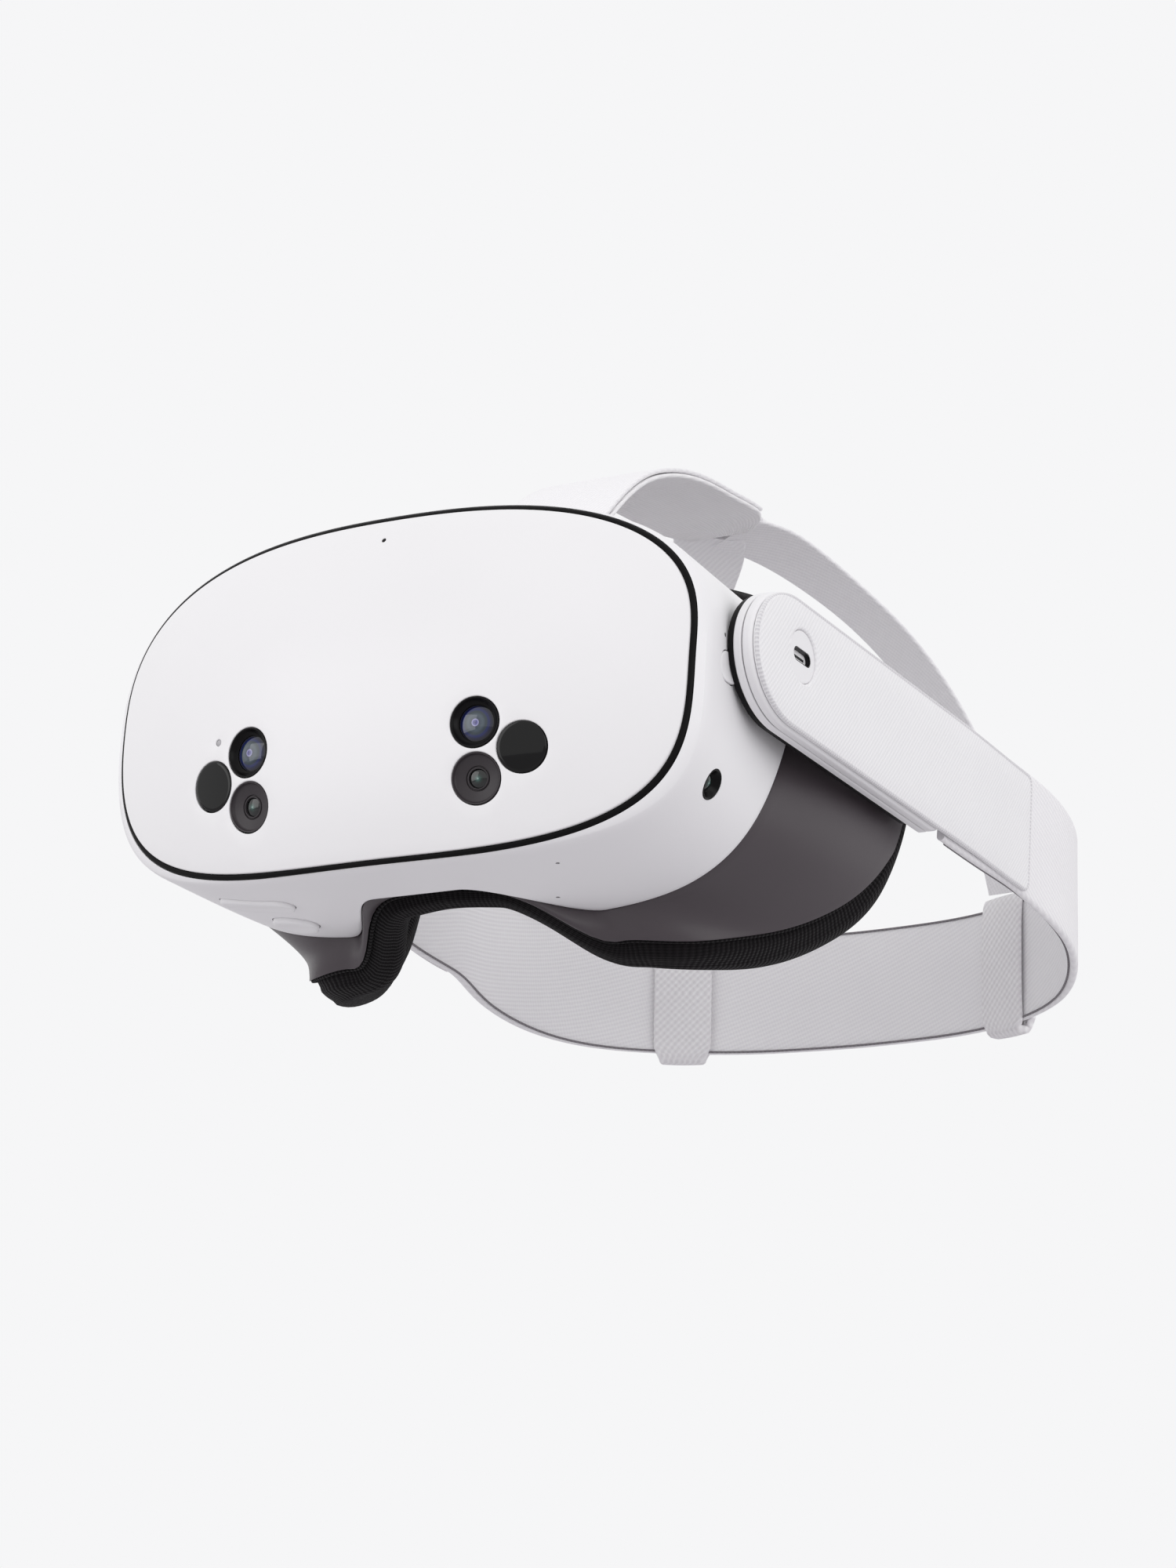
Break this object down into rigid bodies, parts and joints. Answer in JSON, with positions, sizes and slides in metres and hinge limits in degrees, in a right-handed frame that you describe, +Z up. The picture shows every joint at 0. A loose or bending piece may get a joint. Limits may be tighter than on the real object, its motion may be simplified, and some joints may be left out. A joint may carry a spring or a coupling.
{
  "type": "vr headset",
  "caption": "Stand-alone headset for virtual reality: curved sensor faceplate, padded facial interface, hinged side arms with a socket, fabric covers and a soft rear and top strap.",
  "frame": {"origin": "centre of the bounding box at its bottom, where the headset stands on its cheek pads and rear strap loops", "axes": "+Z up, +Y from the front of the visor back towards the wearer's head, +X to the wearer's left"},
  "size_m": [0.1952, 0.2896, 0.1644],
  "materials": {
    "shell_plastic": "fine matte, warm white",
    "gasket_rubber": "soft matt grey",
    "camera_black": "satin black",
    "camera_lens": "coated dark glass",
    "infrared_black": "gloss black",
    "led_diffuser": "satin, unlit",
    "inner_plastic": "fine matte black",
    "circuit_board": "solder mask, satin",
    "battery_wrap": "wrapped cell, matte",
    "display_glass": "gloss, unlit",
    "eye_lens": "clear, thin",
    "heat_sink_metal": "plain",
    "bright_steel": "plain",
    "foam_fabric": "black knitted cover over foam",
    "arm_cloth": "pale grey melange knit",
    "strap_webbing": "white woven face, ribbed pale grey back"
  },
  "bodies": {
    "visor": {"faceplate": "shell_plastic", "faceplate_gasket": "gasket_rubber", "housing": "shell_plastic", "chassis": "inner_plastic", "chassis_screws": "bright_steel", "mainboard": "circuit_board", "heat_sink": "heat_sink_metal", "fan_housing": "inner_plastic", "battery": "battery_wrap", "display_panel": "display_glass", "display_frame": "inner_plastic", "lens_shroud": "inner_plastic", "proximity_window": "infrared_black", "status_led": "led_diffuser", "colour_camera_left": "camera_black", "colour_camera_right": "camera_black", "colour_camera_lens_left": "camera_lens", "colour_camera_lens_right": "camera_lens", "tracking_camera_left": "camera_black", "tracking_camera_right": "camera_black", "tracking_camera_lens_left": "camera_lens", "tracking_camera_lens_right": "camera_lens", "infrared_window_left": "infrared_black", "infrared_window_right": "infrared_black", "side_camera_left": "camera_black", "side_camera_right": "camera_black", "side_camera_lens_left": "camera_lens", "side_camera_lens_right": "camera_lens", "pivot_pin_left": "bright_steel", "pivot_pin_right": "bright_steel", "strap_anchor": "shell_plastic", "top_strap_tab": "strap_webbing"},
    "power_button": {"power_button": "shell_plastic"},
    "volume_rocker": {"volume_rocker": "shell_plastic"},
    "action_button": {"action_button": "shell_plastic"},
    "fan_rotor": {"fan_rotor": "inner_plastic"},
    "lens_carrier_left": {"lens_barrel_left": "inner_plastic", "lens_left": "eye_lens"},
    "lens_carrier_right": {"lens_barrel_right": "inner_plastic", "lens_right": "eye_lens"},
    "facial_interface": {"interface_frame": "inner_plastic", "face_foam": "foam_fabric"},
    "left_arm": {"arm_inner_shell_left": "shell_plastic", "arm_outer_shell_left": "shell_plastic", "arm_fabric_left": "arm_cloth", "speaker_left": "inner_plastic", "usb_c_socket": "bright_steel", "usb_c_trim": "shell_plastic", "rear_band": "strap_webbing", "top_strap_inner": "strap_webbing", "top_strap_outer": "strap_webbing", "y_strap": "strap_webbing", "leg_loop_left": "strap_webbing", "leg_loop_right": "strap_webbing"},
    "right_arm": {"arm_inner_shell_right": "shell_plastic", "arm_outer_shell_right": "shell_plastic", "arm_fabric_right": "arm_cloth", "speaker_right": "inner_plastic"}
  },
  "joints": [
    {"name": "left_arm_tilt", "type": "hinge", "parent": "visor", "child": "left_arm", "pos_m": [0.089, -0.08785, 0.07151], "axis": [1, 0, 0], "range_deg": [-15, 25]},
    {"name": "right_arm_tilt", "type": "hinge", "parent": "visor", "child": "right_arm", "pos_m": [-0.089, -0.08785, 0.07151], "axis": [1, 0, 0], "range_deg": [-15, 25]},
    {"name": "lens_left_slide", "type": "slide", "parent": "visor", "child": "lens_carrier_left", "axis": [1, 0, 0], "range_m": [-0.0025, 0.0025]},
    {"name": "lens_right_slide", "type": "slide", "parent": "visor", "child": "lens_carrier_right", "axis": [1, 0, 0], "range_m": [-0.0025, 0.0025]},
    {"name": "power_press", "type": "slide", "parent": "visor", "child": "power_button", "axis": [-1, 0, 0], "range_m": [0, 0.0008], "stiffness_N_per_m": 1500, "springref_m": -0.0004},
    {"name": "action_press", "type": "slide", "parent": "visor", "child": "action_button", "axis": [0, 0, 1], "range_m": [0, 0.0008], "stiffness_N_per_m": 1500, "springref_m": -0.0004},
    {"name": "volume_rock", "type": "hinge", "parent": "visor", "child": "volume_rocker", "pos_m": [-0.049, -0.11385, 0.02161], "axis": [0, 1, 0], "range_deg": [-2, 2], "stiffness_Nm_per_rad": 0.6},
    {"name": "fan_spin", "type": "hinge", "parent": "visor", "child": "fan_rotor", "pos_m": [0, -0.12265, 0.07701], "axis": [0, 1, 0], "continuous": true},
    {"name": "interface_pull", "type": "slide", "parent": "visor", "child": "facial_interface", "axis": [0, 1, 0], "range_m": [0, 0.02]}
  ],
  "couplings": [
    {"joint": "right_arm_tilt", "follows": "left_arm_tilt", "ratio": 1},
    {"joint": "lens_right_slide", "follows": "lens_left_slide", "ratio": -1}
  ]
}
